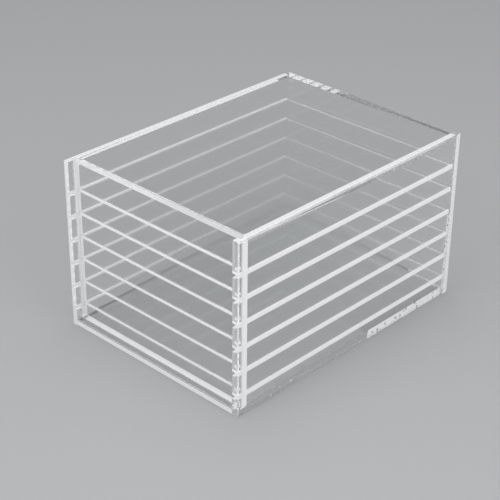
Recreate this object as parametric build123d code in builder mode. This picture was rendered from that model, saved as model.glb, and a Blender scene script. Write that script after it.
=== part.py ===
from build123d import *
import os

# Clear acrylic organizer box. Five cemented sheets make a case that is open at the front,
# and loose tiles slide into grooves milled along the inner faces of its two sides.
# Millimetres: X runs across, Y from the open front to the back, Z up from the table.
# The origin is the middle of the footprint, on the table.

# Case, measured over the sheets
case_width = 126.0
case_depth = 172.0
case_height = 99.0

# Sheets
side_thickness = 4.0
back_thickness = 4.0
base_thickness = 4.0
top_thickness = 4.0
tile_thickness = 2.0

# Tiles, with the free height under the lowest groove and over the highest one
tile_count = 6
bottom_bay = 6.1
top_bay = 13.5
tile_groove_depth = 2.0

# Groove behind the front for a drop-in cover, milled down both sides and across the base
cover_setback = 3.5
cover_groove_width = 3.6
side_cover_groove_depth = 2.0
base_cover_groove_depth = 1.5

# Clearances
cement_film = 0.05  # solvent cement between two glued sheets
tile_lift = 0.05  # air that the milling marks of a groove floor leave under a tile
tile_play = 0.25  # room over a tile in its groove
tile_side_gap = 0.3  # between a tile's long edge and the bottom of its groove
tile_back_gap = 0.5  # between a tile's rear edge and the back wall

# Scraped arrises on the edges that a hand can touch
case_arris = 0.7
tile_arris = 0.2

# Planes of the case
front = -case_depth / 2
back = case_depth / 2
side_outer = case_width / 2
side_inner = side_outer - side_thickness
back_inner = back - back_thickness

# Sheets that are cemented between or against others stop short by the cement film
glued_back = back_inner - cement_film
glued_half_width = side_inner - cement_film
side_length = glued_back - front
side_middle = (front + glued_back) / 2

# The cover drops in behind the front, and the top sheet and the tiles start where its groove ends
cover_middle = front + cover_setback + cover_groove_width / 2
front_line = front + cover_setback + cover_groove_width

# Tile grooves are evenly spaced, and each tile lies on the floors of its pair
groove_height = tile_lift + tile_thickness + tile_play
lowest_floor = base_thickness + bottom_bay
highest_floor = case_height - top_thickness - top_bay - groove_height
groove_pitch = (highest_floor - lowest_floor) / (tile_count - 1)
groove_floors = [lowest_floor + index * groove_pitch for index in range(tile_count)]

# Tile outline
tile_width = 2 * (side_inner + tile_groove_depth - tile_side_gap)
tile_back = back_inner - tile_back_gap
tile_length = tile_back - front_line
tile_middle = (front_line + tile_back) / 2

# Right side: a sawn blank, then its tile grooves, then the cover groove down to the base
with BuildPart() as right_side_wall:
    with BuildSketch(Plane.YZ.offset(side_inner)):
        with Locations((side_middle, case_height / 2)):
            Rectangle(side_length, case_height)
    extrude(amount=side_thickness)
    rear_end = right_side_wall.faces().sort_by(Axis.Y)[-1]
    outer_face = right_side_wall.faces().sort_by(Axis.X)[-1]
    chamfer(outer_face.edges() - rear_end.edges(), length=case_arris)
    with BuildSketch(Plane.YZ.offset(side_inner)):
        with Locations([(side_middle, floor + groove_height / 2) for floor in groove_floors]):
            Rectangle(side_length, groove_height)
    extrude(amount=tile_groove_depth, mode=Mode.SUBTRACT)
    with BuildSketch(Plane.YZ.offset(side_inner)):
        with Locations((cover_middle, (base_thickness + case_height) / 2)):
            Rectangle(cover_groove_width, case_height - base_thickness)
    extrude(amount=side_cover_groove_depth, mode=Mode.SUBTRACT)

# Left side: the mirror image
with BuildPart() as left_side_wall:
    mirror(right_side_wall.part, about=Plane.YZ)

# Back: the full width and height, with the other sheets butted against its inner face
with BuildPart() as back_wall:
    with BuildSketch(Plane.XZ.offset(-back)):
        with Locations((0, case_height / 2)):
            Rectangle(case_width, case_height)
    extrude(amount=back_thickness)
    rear_face = back_wall.faces().sort_by(Axis.Y)[-1]
    chamfer(rear_face.edges(), length=case_arris)

# Base: between the sides, with the cover groove across it
with BuildPart() as base_panel:
    with BuildSketch():
        with Locations((0, side_middle)):
            Rectangle(2 * glued_half_width, side_length)
    extrude(amount=base_thickness)
    front_edge_face = base_panel.faces().sort_by(Axis.Y)[0]
    chamfer(front_edge_face.edges().filter_by(Axis.X), length=case_arris)
    with BuildSketch(Plane.XY.offset(base_thickness)):
        with Locations((0, cover_middle)):
            Rectangle(2 * glued_half_width, cover_groove_width)
    extrude(amount=-base_cover_groove_depth, mode=Mode.SUBTRACT)

# Top: between the sides and flush with them, stopping behind the cover groove
with BuildPart() as top_panel:
    with BuildSketch(Plane.XY.offset(case_height - top_thickness)):
        with Locations((0, (front_line + glued_back) / 2)):
            Rectangle(2 * glued_half_width, glued_back - front_line)
    extrude(amount=top_thickness)
    front_edge_face = top_panel.faces().sort_by(Axis.Y)[0]
    chamfer(front_edge_face.edges().filter_by(Axis.X), length=case_arris)

pieces = {
    "left_side_wall": left_side_wall,
    "right_side_wall": right_side_wall,
    "back_wall": back_wall,
    "base_panel": base_panel,
    "top_panel": top_panel,
}

# Tiles, numbered from the bottom
for number, floor in enumerate(groove_floors, start=1):
    with BuildPart() as tile:
        with BuildSketch(Plane.XY.offset(floor + tile_lift)):
            with Locations((0, tile_middle)):
                Rectangle(tile_width, tile_length)
        extrude(amount=tile_thickness)
        chamfer(tile.edges(), length=tile_arris)
    pieces[f"tile_{number}"] = tile

os.makedirs("parts", exist_ok=True)
for name, piece in pieces.items():
    piece.part.label = name
    export_step(piece.part, f"parts/{name}.step")
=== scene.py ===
"""Looks of a clear acrylic organizer box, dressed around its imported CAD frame.

The case is five cemented sheets, and loose tiles ride in its milled grooves. Every sheet keeps its
CAD solid and gets one see-through material, which tells its clear faces, sawn edges, polished ends,
scraped arrises, milled grooves and cemented joints apart by where they lie on the sheet. Metres, in
the frame's axes: X across, Y from the open front to the back, Z up.
"""

import logging
import math
from dataclasses import dataclass, field
from enum import Enum
from functools import reduce
from operator import and_, or_
from typing import Any

import bpy
import numpy as np
from mathutils import Matrix, Vector


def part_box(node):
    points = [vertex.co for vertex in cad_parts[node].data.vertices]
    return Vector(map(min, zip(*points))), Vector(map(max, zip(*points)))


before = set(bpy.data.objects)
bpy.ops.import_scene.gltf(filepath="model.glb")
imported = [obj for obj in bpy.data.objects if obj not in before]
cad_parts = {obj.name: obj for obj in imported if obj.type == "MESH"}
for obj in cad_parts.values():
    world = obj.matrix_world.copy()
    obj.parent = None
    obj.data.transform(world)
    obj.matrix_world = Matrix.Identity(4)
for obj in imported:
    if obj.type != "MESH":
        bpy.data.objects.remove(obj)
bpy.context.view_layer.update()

LOG = logging.getLogger("organizer_box")
MM = 0.001
ACRYLIC_IOR = 1.49
NOISE_MIDDLE = 0.5

# Places of the Mix node's colour sockets, which share their names with sockets of other types
MIX_FIRST = 6
MIX_SECOND = 7
MIX_RESULT = 2

Colour = tuple[float, float, float]
Point = tuple[float, float, float]
Span = tuple[float, float]


class Axis(Enum):
    """A frame axis, as an index into a point."""

    X = 0
    Y = 1
    Z = 2


class Side(Enum):
    """Which end of an axis an edge lies at, as an index into a box."""

    LOW = 0
    HIGH = 1


class Value:
    """An output socket of a shader graph. Arithmetic on values adds Math nodes."""

    def __init__(self, graph: "Graph", socket: bpy.types.NodeSocket) -> None:
        """Keeps the socket, and the graph that new nodes go into."""
        self.graph = graph
        self.socket = socket

    def __add__(self, other: "Value | float") -> "Value":
        """Sum."""
        return self.graph.math("ADD", self, other)

    __radd__ = __add__

    def __sub__(self, other: "Value | float") -> "Value":
        """Difference."""
        return self.graph.math("SUBTRACT", self, other)

    def __rsub__(self, other: "Value | float") -> "Value":
        """Difference from a number, as in 1 - mask."""
        return self.graph.math("SUBTRACT", other, self)

    def __mul__(self, other: "Value | float") -> "Value":
        """Product."""
        return self.graph.math("MULTIPLY", self, other)

    __rmul__ = __mul__

    def __lt__(self, other: "Value | float") -> "Value":
        """Mask that is 1 where this is under the other."""
        return self.graph.math("LESS_THAN", self, other)

    def __gt__(self, other: "Value | float") -> "Value":
        """Mask that is 1 where this is over the other."""
        return self.graph.math("GREATER_THAN", self, other)

    def __and__(self, other: "Value") -> "Value":
        """Lesser of two values, and so the overlap of two masks."""
        return self.graph.math("MINIMUM", self, other)

    def __or__(self, other: "Value") -> "Value":
        """Greater of two values, and so the union of two masks."""
        return self.graph.math("MAXIMUM", self, other)

    def __abs__(self) -> "Value":
        """Distance from zero."""
        return self.graph.math("ABSOLUTE", self)


class Graph:
    """A material's node tree, written as expressions."""

    def __init__(self, name: str) -> None:
        """Starts an empty material of that name."""
        self.material = bpy.data.materials.new(name)
        self.material.use_nodes = True
        self.tree = self.material.node_tree
        self.tree.nodes.clear()

    def feed(self, socket: bpy.types.NodeSocket, value: Any) -> None:
        """Links a value to a socket, or sets a plain number, colour or vector on it."""
        if isinstance(value, Value):
            self.tree.links.new(value.socket, socket)
        elif socket.type == "RGBA":
            socket.default_value = (*value, 1.0)
        else:
            socket.default_value = value

    def node(
        self,
        kind: str,
        settings: dict[str, Any] | None = None,
        inputs: dict[str | int, Any] | None = None,
        output: str | int = 0,
    ) -> Value:
        """Adds any node.

        Args:
            kind: the node's type.
            settings: attributes, which are set before the sockets.
            inputs: values or links, by the socket's name or place.
            output: the output to return, by name or place.

        Returns:
            The output, ready for arithmetic.
        """
        made = self.tree.nodes.new(kind)
        for name, setting in (settings or {}).items():
            setattr(made, name, setting)
        for name, value in (inputs or {}).items():
            self.feed(made.inputs[name], value)
        return Value(self, made.outputs[output])

    def beside(self, value: Value, output: str) -> Value:
        """Returns another output of the node that a value comes from."""
        return Value(self, value.socket.node.outputs[output])

    def math(self, operation: str, *operands: "Value | float") -> Value:
        """Adds a Math node on values or numbers."""
        return self.node("ShaderNodeMath", {"operation": operation}, dict(enumerate(operands)))

    def noise(self, vector: Value, per_metre: float, seed: float, detail: float = 3.0) -> Value:
        """Adds a cloudy noise.

        Args:
            vector: where on the piece.
            per_metre: features in a metre.
            seed: picks one of many patterns.
            detail: octaves.

        Returns:
            The noise, about 0.5 and within 0 and 1.
        """
        inputs = {"Vector": vector, "W": seed, "Scale": per_metre, "Detail": detail}
        return self.node("ShaderNodeTexNoise", {"noise_dimensions": "4D"}, inputs)

    def strokes(self, phase: Value, per_metre: float, detail: float = 2.0) -> Value:
        """Adds irregular parallel strokes, a noise along one length.

        Args:
            phase: the length that the strokes follow each other along, in metres.
            per_metre: strokes in a metre.
            detail: octaves.

        Returns:
            The noise, about 0.5 and within 0 and 1.
        """
        inputs = {"W": phase, "Scale": per_metre, "Detail": detail}
        return self.node("ShaderNodeTexNoise", {"noise_dimensions": "1D"}, inputs)

    def cells(self, vector: Value, per_metre: float, seed: float) -> Value:
        """Adds scattered cells.

        Args:
            vector: where on the piece.
            per_metre: cells in a metre.
            seed: picks one of many patterns.

        Returns:
            The distance from the nearest cell's middle, in cells.
        """
        inputs = {"Vector": vector, "W": seed, "Scale": per_metre}
        return self.node("ShaderNodeTexVoronoi", {"voronoi_dimensions": "4D"}, inputs)

    def ramp(self, value: Value, source: Span, target: Span) -> Value:
        """Carries a value smoothly from the range source onto the range target."""
        inputs = {
            "Value": value,
            "From Min": source[0],
            "From Max": source[1],
            "To Min": target[0],
            "To Max": target[1],
        }
        return self.node("ShaderNodeMapRange", {"interpolation_type": "SMOOTHSTEP"}, inputs)

    def colours(self, factor: Value, first: Colour, second: Colour) -> Value:
        """Blends two colours by a factor."""
        inputs = {"Factor": factor, MIX_FIRST: first, MIX_SECOND: second}
        return self.node("ShaderNodeMix", {"data_type": "RGBA"}, inputs, MIX_RESULT)

    def bump(self, height: Value, depth: float) -> Value:
        """Turns a height of 0 to 1 into a shading normal, depth metres deep."""
        return self.node("ShaderNodeBump", inputs={"Distance": depth, "Height": height})

    def clear(self, share: float) -> Value:
        """Adds a plain way through that keeps a share of the light."""
        return self.node("ShaderNodeBsdfTransparent", inputs={"Color": (share,) * 3})

    def mixed(self, factor: "Value | float", first: Value, second: Value) -> Value:
        """Blends two shaders, with the second where the factor is 1."""
        return self.node("ShaderNodeMixShader", inputs={0: factor, 1: first, 2: second})

    def lit_through(self, shader: Value, share: float) -> Value:
        """Lets light from lamps and dull surfaces pass a shader that cameras and mirrors see.

        Args:
            shader: what cameras and mirrors see.
            share: how much of the light passes, from 0 to 1.

        Returns:
            The shader with a plain way through for those rays.
        """
        from_lamps = self.node("ShaderNodeLightPath", output="Is Shadow Ray")
        from_dull = self.beside(from_lamps, "Is Diffuse Ray")
        return self.mixed(from_lamps | from_dull, shader, self.clear(share))

    def finish(self, shader: Value) -> bpy.types.Material:
        """Puts a shader out as the surface and returns the material."""
        output = self.tree.nodes.new("ShaderNodeOutputMaterial")
        self.feed(output.inputs["Surface"], shader)
        return self.material


@dataclass(frozen=True)
class Spot:
    """Where a finish is being asked for.

    Attributes:
        graph: the material's node tree.
        vector: the point on the sheet.
        place: the point's three coordinates.
        along: a length that grows along every edge of the sheet.
        through: the coordinate across the sheet's thickness.
        seed: picks the sheet's own pattern.
    """

    graph: Graph
    vector: Value
    place: tuple[Value, Value, Value]
    along: Value
    through: Value
    seed: float


@dataclass(frozen=True)
class PolishedFace:
    """The face of cast acrylic sheet: clear, faintly wavy, with smudges that dull its shine."""

    tint: Colour = (0.994, 0.998, 0.997)
    light_share: float = 0.97
    smudges_per_metre: float = 26.0
    smudge_detail: float = 5.0
    smudge_range: Span = (0.55, 0.8)
    roughness: Span = (0.003, 0.035)
    waves_per_metre: float = 34.0
    wave_detail: float = 1.0
    wave_depth: float = 0.002 * MM

    def shader(self, spot: Spot) -> Value:
        """Returns the clear shader, rougher where it is smudged."""
        graph = spot.graph
        smudges = graph.noise(spot.vector, self.smudges_per_metre, spot.seed, self.smudge_detail)
        waves = graph.noise(spot.vector, self.waves_per_metre, spot.seed, self.wave_detail)
        inputs = {
            "Base Color": self.tint,
            "IOR": ACRYLIC_IOR,
            "Transmission Weight": 1.0,
            "Roughness": graph.ramp(smudges, self.smudge_range, self.roughness),
            "Normal": graph.bump(waves, self.wave_depth),
        }
        clear = graph.node("ShaderNodeBsdfPrincipled", inputs=inputs)
        return graph.lit_through(clear, self.light_share)


@dataclass(frozen=True)
class CutSurface:
    """Acrylic as a tool leaves it: white and dull, with strokes across the cut.

    Attributes:
        pale: colour of the strokes' crests.
        deep: colour of the strokes' bottoms.
        roughness: how dull the cut is.
        clearness: share of it that is seen through.
        light_share: how much light from lamps and dull surfaces passes.
        strokes_per_metre: strokes in a metre of the cut.
        slant: lean of the strokes across the thickness.
        stroke_depth: depth of the strokes.
        mirrors_within: whether it mirrors like a polished face, seen from within the sheet.
        stroke_range: the noise that the colours are spread over.
    """

    pale: Colour
    deep: Colour
    roughness: float
    clearness: float
    light_share: float
    strokes_per_metre: float
    slant: float
    stroke_depth: float
    mirrors_within: bool = False
    stroke_range: Span = (0.3, 0.7)

    def shader(self, spot: Spot) -> Value:
        """Returns the dull shader."""
        graph = spot.graph
        phase = spot.along + spot.through * self.slant + spot.seed
        strokes = graph.strokes(phase, self.strokes_per_metre)
        crests = graph.ramp(strokes, self.stroke_range, (0.0, 1.0))
        inputs = {
            "Base Color": graph.colours(crests, self.deep, self.pale),
            "IOR": ACRYLIC_IOR,
            "Transmission Weight": self.clearness,
            "Roughness": self.roughness,
            "Normal": graph.bump(strokes, self.stroke_depth),
        }
        dull = graph.node("ShaderNodeBsdfPrincipled", inputs=inputs)
        return graph.lit_through(dull, self.light_share)

    def both_sides(self, spot: Spot, polished: Value) -> Value:
        """Makes the look from outside and from within the sheet.

        Args:
            spot: the point on the sheet.
            polished: the look of a polished face.

        Returns:
            The dull shader, or the polished one on the inside of a surface that mirrors within.
        """
        if not self.mirrors_within:
            return self.shader(spot)
        inside = spot.graph.node("ShaderNodeNewGeometry", output="Backfacing")
        return spot.graph.mixed(inside, self.shader(spot), polished)


# Outline edges, from the saw and the sander to the flame and the buffing wheel
SAWN_EDGE = CutSurface(
    pale=(0.95, 0.957, 0.957),
    deep=(0.80, 0.81, 0.81),
    roughness=0.45,
    clearness=0.2,
    light_share=0.5,
    strokes_per_metre=1100.0,
    slant=0.6,
    stroke_depth=0.04 * MM,
    mirrors_within=True,
)
SATIN_EDGE = CutSurface(
    pale=(0.96, 0.967, 0.967),
    deep=(0.88, 0.89, 0.89),
    roughness=0.32,
    clearness=0.3,
    light_share=0.78,
    strokes_per_metre=1500.0,
    slant=0.3,
    stroke_depth=0.02 * MM,
)
FLAME_POLISH = CutSurface(
    pale=(0.99, 0.994, 0.993),
    deep=(0.965, 0.97, 0.97),
    roughness=0.08,
    clearness=0.88,
    light_share=0.85,
    strokes_per_metre=900.0,
    slant=0.0,
    stroke_depth=0.0005 * MM,
    mirrors_within=True,
)
BUFFED_END = CutSurface(
    pale=(0.975, 0.98, 0.98),
    deep=(0.93, 0.937, 0.937),
    roughness=0.25,
    clearness=0.42,
    light_share=0.78,
    strokes_per_metre=900.0,
    slant=0.0,
    stroke_depth=0.004 * MM,
)

# Cuts along the faces: broken corners, grooves, and the nearly clear front flank of the cover groove
SCRAPED_ARRIS = CutSurface(
    pale=(0.985, 0.99, 0.99),
    deep=(0.95, 0.957, 0.957),
    roughness=0.22,
    clearness=0.85,
    light_share=0.85,
    strokes_per_metre=700.0,
    slant=0.0,
    stroke_depth=0.01 * MM,
    mirrors_within=True,
)
MILLED_GROOVE = CutSurface(
    pale=(0.97, 0.975, 0.975),
    deep=(0.88, 0.887, 0.887),
    roughness=0.55,
    clearness=0.12,
    light_share=0.78,
    strokes_per_metre=2200.0,
    slant=0.2,
    stroke_depth=0.02 * MM,
)
SMOOTH_FLANK = CutSurface(
    pale=(0.985, 0.99, 0.99),
    deep=(0.95, 0.957, 0.957),
    roughness=0.12,
    clearness=0.92,
    light_share=0.85,
    strokes_per_metre=700.0,
    slant=0.0,
    stroke_depth=0.001 * MM,
)

# White cement on the joints: its bubbles are real, and its white stretches are a painted highlight
# where a lamp glints on the seam
CEMENT_BUBBLES_AND_PAINTED_HIGHLIGHT = CutSurface(
    pale=(0.97, 0.975, 0.975),
    deep=(0.92, 0.925, 0.925),
    roughness=0.7,
    clearness=0.08,
    light_share=0.4,
    strokes_per_metre=500.0,
    slant=0.0,
    stroke_depth=0.02 * MM,
)


@dataclass(frozen=True)
class CementJoint:
    """A glued edge, fused clear by solvent, with real white bubbles and a painted highlight: a white
    stretch where a lamp glints on the seam.

    Attributes:
        axis: the axis that the glued edge lies at an end of.
        side: which end of that axis.
        run: the axis that the joint runs along.
        painted_highlight: where the white stretch starts and ends, as shares of the run. The stretch
            is a painted highlight where a lamp glints on the seam. An end past 0 or 1 takes it right
            into the corner.
        frost: the look of the painted highlight's white stretch and of the real bubbles.
        ragged_per_metre: bends in a metre of the stretch's ends.
        raggedness: how far those ends wander, as a share of the run.
        specks_per_metre: clear specks in a metre of the stretch.
        speck_radius: their radius, as a share of their spacing.
        bubbles_per_metre: white bubbles in a metre of the joint.
        bubble_radius: their radius, as a share of their spacing.
    """

    axis: Axis
    side: Side
    run: Axis
    painted_highlight: Span | None = None
    frost: CutSurface = CEMENT_BUBBLES_AND_PAINTED_HIGHLIGHT
    ragged_per_metre: float = 220.0
    raggedness: float = 0.03
    specks_per_metre: float = 430.0
    speck_radius: float = 0.36
    bubbles_per_metre: float = 300.0
    bubble_radius: float = 0.16

    def shader(self, spot: Spot, box: tuple[Vector, Vector]) -> Value:
        """Makes the joint's look.

        Args:
            spot: the point on the sheet.
            box: the sheet's lowest and highest corners.

        Returns:
            A clear shader, which is white along the stretch of painted highlight, with stray real
            bubbles beside it.
        """
        graph = spot.graph
        if self.painted_highlight is None:
            return graph.clear(1.0)
        low, high = (box[side.value][self.run.value] for side in Side)
        share = (spot.place[self.run.value] - low) * (1.0 / (high - low))
        wander = graph.noise(spot.vector, self.ragged_per_metre, spot.seed) - NOISE_MIDDLE
        ragged = share + wander * self.raggedness
        # The white stretch is a painted highlight where a lamp glints on the seam; the bubbles beside
        # it are real
        stretch = (ragged > self.painted_highlight[0]) & (ragged < self.painted_highlight[1])
        specks = graph.cells(spot.vector, self.specks_per_metre, spot.seed) > self.speck_radius
        bubbles = graph.cells(spot.vector, self.bubbles_per_metre, spot.seed) < self.bubble_radius
        return graph.mixed((stretch & specks) | bubbles, graph.clear(1.0), self.frost.shader(spot))


@dataclass
class Sheet:
    """One sheet of acrylic, which keeps its CAD solid.

    Attributes:
        node: the CAD node.
        normal: the axis across the sheet's thickness.
        seed: picks the sheet's own pattern.
        arris: width of its broken corners.
        flank: how far behind its front end the cover groove starts, on a sheet that has grooves.
        polished_ends: edges that are buffed or polished, by axis and end.
        joints: edges that are glued to other sheets.
        joined: sheets that are glued onto its faces.
        polish: the look of its two faces.
        edge: the look of its other edges.
        end_polish: the look of its polished ends.
        scraped: the look of its arrises.
        milled: the look of its grooves.
        smooth_flank: the look of the cover groove's front flank.
        face_reach: how near a face a point still lies on it.
        arris_reach: how near an arris a point still lies on it.
        film_reach: how near a glued sheet a point still lies in the cement.
    """

    node: str
    normal: Axis
    seed: float
    arris: float
    flank: float | None = None
    polished_ends: tuple[tuple[Axis, Side], ...] = ()
    joints: tuple[CementJoint, ...] = ()
    joined: tuple[str, ...] = ()
    polish: PolishedFace = field(default_factory=PolishedFace)
    edge: CutSurface = SAWN_EDGE
    end_polish: CutSurface = FLAME_POLISH
    scraped: CutSurface = SCRAPED_ARRIS
    milled: CutSurface = MILLED_GROOVE
    smooth_flank: CutSurface = SMOOTH_FLANK
    face_reach: float = 0.02 * MM
    arris_reach: float = 0.03 * MM
    film_reach: float = 0.06 * MM

    def away(self, spot: Spot, axis: Axis, side: Side) -> Value:
        """Distance from one end of the sheet's box."""
        return abs(spot.place[axis.value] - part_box(self.node)[side.value][axis.value])

    def nearest(self, spot: Spot, *axes: Axis) -> Value:
        """Distance from the nearest end of the sheet's box along some axes."""
        return reduce(and_, [self.away(spot, axis, side) for axis in axes for side in Side])

    def against(self, spot: Spot, neighbour: str) -> Value:
        """Mask that is 1 where the sheet touches the box of a sheet that is glued to it."""
        low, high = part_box(neighbour)
        inside = []
        for axis in Axis:
            start, end = low[axis.value], high[axis.value]
            middle = (start + end) / 2
            inside.append(abs(spot.place[axis.value] - middle) < (end - start) / 2 + self.film_reach)
        return reduce(and_, inside)

    def cut_look(self, spot: Spot, polished: Value) -> Value:
        """Makes the look of everything but the two faces.

        Args:
            spot: the point on the sheet.
            polished: the look of a polished face.

        Returns:
            Outline edges, with their joints and polished ends, and arrises and grooves between them.
        """
        across = [axis for axis in Axis if axis is not self.normal]
        from_edge = self.nearest(spot, *across)
        inner = self.inner_look(spot, polished, from_edge)
        return spot.graph.mixed(from_edge < self.face_reach, inner, self.outline_look(spot, polished))

    def outline_look(self, spot: Spot, polished: Value) -> Value:
        """Makes the look of the outline edges.

        Args:
            spot: the point on the sheet.
            polished: the look of a polished face.

        Returns:
            Plain edges, with the polished ends and the joints in their places.
        """
        graph = spot.graph
        outline = self.edge.both_sides(spot, polished)
        for axis, side in self.polished_ends:
            here = self.away(spot, axis, side) < self.face_reach
            outline = graph.mixed(here, outline, self.end_polish.both_sides(spot, polished))
        for joint in self.joints:
            here = self.away(spot, joint.axis, joint.side) < self.face_reach
            outline = graph.mixed(here, outline, joint.shader(spot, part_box(self.node)))
        return outline

    def inner_look(self, spot: Spot, polished: Value, from_edge: Value) -> Value:
        """Makes the look of what lies between the faces and the outline edges.

        Args:
            spot: the point on the sheet.
            polished: the look of a polished face.
            from_edge: distance from the nearest outline edge.

        Returns:
            Arrises, where the distances from the edge and the face add up to an arris's width at
            most, and grooves elsewhere on a sheet that has them.
        """
        graph = spot.graph
        arrises = self.scraped.both_sides(spot, polished)
        if self.flank is None:
            return arrises
        from_corner = from_edge + self.nearest(spot, self.normal)
        on_flank = abs(self.away(spot, Axis.Y, Side.LOW) - self.flank) < self.face_reach
        grooves = graph.mixed(on_flank, self.milled.shader(spot), self.smooth_flank.shader(spot))
        return graph.mixed(from_corner < self.arris + self.arris_reach, grooves, arrises)

    def material(self) -> bpy.types.Material:
        """Makes the sheet's material from its finishes.

        Returns:
            The material, with polished faces that turn clear where another sheet is glued on.
        """
        graph = Graph(f"{self.node}_acrylic")
        vector = graph.node("ShaderNodeTexCoord", output="Object")
        split = graph.node("ShaderNodeSeparateXYZ", inputs={"Vector": vector})
        place = tuple(graph.beside(split, axis.name) for axis in Axis)
        across = [place[axis.value] for axis in Axis if axis is not self.normal]
        spot = Spot(graph, vector, place, across[0] + across[1], place[self.normal.value], self.seed)
        polished = self.polish.shader(spot)
        face = polished
        if self.joined:
            glued = reduce(or_, [self.against(spot, neighbour) for neighbour in self.joined])
            face = graph.mixed(glued, polished, graph.clear(1.0))
        on_face = self.nearest(spot, self.normal) < self.face_reach
        return graph.finish(graph.mixed(on_face, self.cut_look(spot, polished), face))

    def dress(self) -> None:
        """Puts the material on the CAD node."""
        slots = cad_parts[self.node].data.materials
        slots.clear()
        slots.append(self.material())
        LOG.info("dressed %s", self.node)


@dataclass
class Case:
    """The five cemented sheets.

    Attributes:
        arris: width of their broken corners.
        cover_setback: how far behind the front end the cover groove starts.
        painted_upright_highlight: white stretch on the right side's rear joint, a painted highlight
            where a lamp glints, as shares from its foot.
        painted_foot_highlight: white stretch on the base's right joint, a painted highlight, as
            shares from the front.
        painted_rear_highlight: white stretch on the base's rear joint, a painted highlight, as shares
            from the left.
    """

    arris: float = 0.7 * MM
    cover_setback: float = 3.5 * MM
    # White stretches on the lower rear-right joints are a painted highlight where a lamp glints on
    # the seams
    painted_upright_highlight: Span = (-0.1, 0.52)
    painted_foot_highlight: Span = (0.61, 1.1)
    painted_rear_highlight: Span = (0.8, 1.1)

    def side_wall(
        self, node: str, seed: float, front_end: CutSurface, painted_highlight: Span | None = None
    ) -> Sheet:
        """Makes a grooved side, glued to the back and carrying the base and the top.

        Args:
            node: the CAD node.
            seed: picks the sheet's own pattern.
            front_end: the look of its front end.
            painted_highlight: any white stretch on its rear joint, painted as a highlight, as shares
                from the foot.

        Returns:
            The sheet.
        """
        return Sheet(
            node,
            Axis.X,
            seed,
            self.arris,
            flank=self.cover_setback,
            polished_ends=((Axis.Y, Side.LOW),),
            end_polish=front_end,
            joints=(CementJoint(Axis.Y, Side.HIGH, Axis.Z, painted_highlight),),
            joined=("base_panel", "top_panel"),
        )

    def between_sides(
        self, right: Span | None = None, rear: Span | None = None
    ) -> tuple[CementJoint, ...]:
        """Makes the three joints of a sheet that lies between the sides.

        Args:
            right: any white stretch on the right joint, painted as a highlight, as shares from the
                front.
            rear: any white stretch on the rear joint, painted as a highlight, as shares from the
                left.

        Returns:
            The left, right and rear joints.
        """
        return (
            CementJoint(Axis.X, Side.LOW, Axis.Y),
            CementJoint(Axis.X, Side.HIGH, Axis.Y, right),
            CementJoint(Axis.Y, Side.HIGH, Axis.X, rear),
        )

    def sheets(self) -> list[Sheet]:
        """Returns the sheets, with the right front end polished, and the left and top ones buffed."""
        return [
            self.side_wall("left_side_wall", seed=0.13, front_end=BUFFED_END),
            # The right side's rear joint gets a painted highlight along its lower half
            self.side_wall(
                "right_side_wall", seed=0.37, front_end=FLAME_POLISH, painted_highlight=self.painted_upright_highlight
            ),
            Sheet(
                "back_wall",
                Axis.Y,
                seed=0.59,
                arris=self.arris,
                polished_ends=((Axis.Z, Side.HIGH),),
                joined=("left_side_wall", "right_side_wall", "base_panel", "top_panel"),
            ),
            Sheet(
                "base_panel",
                Axis.Z,
                seed=0.71,
                arris=self.arris,
                flank=self.cover_setback,
                # The base's right and rear joints get a painted highlight towards the rear-right
                # corner
                joints=self.between_sides(self.painted_foot_highlight, self.painted_rear_highlight),
                edge=SATIN_EDGE,
            ),
            Sheet(
                "top_panel",
                Axis.Z,
                seed=0.97,
                arris=self.arris,
                polished_ends=((Axis.Y, Side.LOW),),
                end_polish=BUFFED_END,
                joints=self.between_sides(),
            ),
        ]


@dataclass
class TileStack:
    """The loose tiles, bottom to top, with satin edges all round.

    Attributes:
        prefix: how the names of their CAD nodes start.
        arris: width of their broken corners.
        seed_base: seed that the tiles' own count on from.
        seed_step: difference between one tile's seed and the next.
    """

    prefix: str = "tile_"
    arris: float = 0.2 * MM
    seed_base: float = 1.0
    seed_step: float = 0.29

    def sheets(self) -> list[Sheet]:
        """Returns the tiles."""
        names = sorted(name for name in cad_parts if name.startswith(self.prefix))
        return [
            Sheet(name, Axis.Z, self.seed_base + self.seed_step * number, self.arris, edge=SATIN_EDGE)
            for number, name in enumerate(names, start=1)
        ]


@dataclass
class OrganizerBox:
    """The case and its tiles."""

    case: Case = field(default_factory=Case)
    tiles: TileStack = field(default_factory=TileStack)

    def build(self) -> None:
        """Dresses every sheet."""
        for sheet in self.case.sheets() + self.tiles.sheets():
            sheet.dress()


@dataclass(frozen=True)
class Softbox:
    """A square studio lamp that looks at the box."""

    name: str
    place: Point
    width: float
    watts: float


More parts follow.
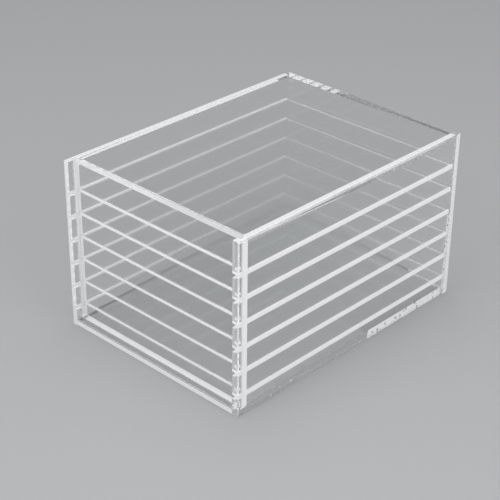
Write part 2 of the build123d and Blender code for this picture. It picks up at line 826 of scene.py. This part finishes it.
@dataclass
class Studio:
    """The camera of the photograph, a plain pale floor and soft light.

    Attributes:
        azimuth: degrees that the camera stands round to the right of the front.
        elevation: degrees that it looks down by.
        roll: degrees that it leans by.
        distance: how far it stands from the point that it looks at.
        aim: the point that the camera and the lamps look at.
        focal_pixels: focal length, in pixels of the frame.
        frame_pixels: width of the frame.
        floor_half_width: reach of the floor on each side.
        floor_drop: how far the floor lies under the box.
        floor_colour: colour of the floor.
        floor_roughness: how dull the floor is.
        floor_gloss: specular level of the floor.
        sky_colour: colour of the light from all round.
        sky_strength: strength of the light from all round.
        sheet_bounces: times that a ray may pass or mirror in the sheets.
        dull_bounces: times that a ray may leave a dull surface.
        clear_bounces: fused joints and the like that a ray may pass straight.
        glint_limit: brightness that a stray glint is cut off at.
        lamps: the softboxes.
    """

    azimuth: float = 43.45
    elevation: float = 29.217
    roll: float = 0.559
    distance: float = 0.74994
    aim: Point = (-0.001947, -0.009849, 0.03961)
    focal_pixels: float = 1379.77
    frame_pixels: float = 500.0
    floor_half_width: float = 6.0
    floor_drop: float = 0.15 * MM
    floor_colour: Colour = (0.415, 0.42, 0.425)
    floor_roughness: float = 0.3
    floor_gloss: float = 0.2
    sky_colour: Colour = (0.97, 0.985, 1.0)
    sky_strength: float = 0.33
    sheet_bounces: int = 96
    dull_bounces: int = 3
    clear_bounces: int = 64
    glint_limit: float = 6.0
    lamps: tuple[Softbox, ...] = (
        Softbox("front_softbox", place=(-0.2, -1.38, 0.78), width=1.0, watts=16.0),
        Softbox("side_softbox", place=(1.42, 0.0, 0.75), width=1.0, watts=15.0),
        Softbox("top_softbox", place=(-0.3, 0.5, 1.55), width=1.2, watts=8.0),
    )

    def add_camera(self) -> None:
        """Stands the camera where the photograph was taken from."""
        data = bpy.data.cameras.new("photo_camera")
        data.lens = self.focal_pixels * data.sensor_width / self.frame_pixels
        camera = bpy.data.objects.new("photo_camera", data)
        bpy.context.scene.collection.objects.link(camera)
        turn, lift = math.radians(self.azimuth), math.radians(self.elevation)
        back = Vector(
            (math.sin(turn) * math.cos(lift), -math.cos(turn) * math.cos(lift), math.sin(lift))
        )
        level = back.to_track_quat("Z", "Y").to_matrix().to_4x4()
        tilt = Matrix.Rotation(math.radians(self.roll), 4, "Z")
        spot = Matrix.Translation(Vector(self.aim) + back * self.distance)
        camera.matrix_world = spot @ level @ tilt
        bpy.context.scene.camera = camera

    def floor_material(self) -> bpy.types.Material:
        """Returns the floor's plain satin paint."""
        graph = Graph("pale_floor")
        inputs = {
            "Base Color": self.floor_colour,
            "Roughness": self.floor_roughness,
            "Specular IOR Level": self.floor_gloss,
        }
        return graph.finish(graph.node("ShaderNodeBsdfPrincipled", inputs=inputs))

    def add_floor(self) -> None:
        """Lays the floor a hair under the box, so that their faces don't meet."""
        reach = self.floor_half_width
        corners = np.array([(-1, -1), (1, -1), (1, 1), (-1, 1)], float) * reach
        points = np.column_stack([corners, np.full(4, -self.floor_drop)])
        mesh = bpy.data.meshes.new("floor")
        mesh.from_pydata(points.tolist(), [], [(0, 1, 2, 3)])
        floor = bpy.data.objects.new("floor", mesh)
        bpy.context.scene.collection.objects.link(floor)
        mesh.materials.append(self.floor_material())

    def add_lamps(self) -> None:
        """Hangs the softboxes, each looking at the middle of the box."""
        for lamp in self.lamps:
            data = bpy.data.lights.new(lamp.name, "AREA")
            data.size = lamp.width
            data.energy = lamp.watts
            light = bpy.data.objects.new(lamp.name, data)
            # Rays that have come through a sheet miss the lamp, which would glare in every clear edge
            light.visible_transmission = False
            bpy.context.scene.collection.objects.link(light)
            back = Vector(lamp.place) - Vector(self.aim)
            turn = back.to_track_quat("Z", "Y").to_matrix().to_4x4()
            light.matrix_world = Matrix.Translation(Vector(lamp.place)) @ turn
            LOG.info("lamp %s", lamp.name)

    def set_sky(self) -> None:
        """Lights the studio evenly from all round."""
        world = bpy.data.worlds.new("studio")
        world.use_nodes = True
        background = world.node_tree.nodes["Background"]
        background.inputs["Color"].default_value = (*self.sky_colour, 1.0)
        background.inputs["Strength"].default_value = self.sky_strength
        bpy.context.scene.world = world

    def set_rays(self) -> None:
        """Lets rays cross the whole stack of sheets, and keeps colours plain."""
        scene = bpy.context.scene
        scene.view_settings.view_transform = "Standard"
        scene.cycles.max_bounces = self.sheet_bounces
        scene.cycles.transmission_bounces = self.sheet_bounces
        scene.cycles.glossy_bounces = self.sheet_bounces
        scene.cycles.diffuse_bounces = self.dull_bounces
        scene.cycles.transparent_max_bounces = self.clear_bounces
        scene.cycles.caustics_refractive = False
        scene.cycles.caustics_reflective = False
        scene.cycles.sample_clamp_indirect = self.glint_limit

    def build(self) -> None:
        """Sets up everything that isn't the box."""
        self.set_rays()
        self.add_camera()
        self.add_floor()
        self.add_lamps()
        self.set_sky()


def main() -> None:
    """Builds the box's looks, then the studio."""
    logging.basicConfig(level=logging.INFO, format="%(name)s: %(message)s")
    OrganizerBox().build()
    Studio().build()


if __name__ == "__main__":
    main()
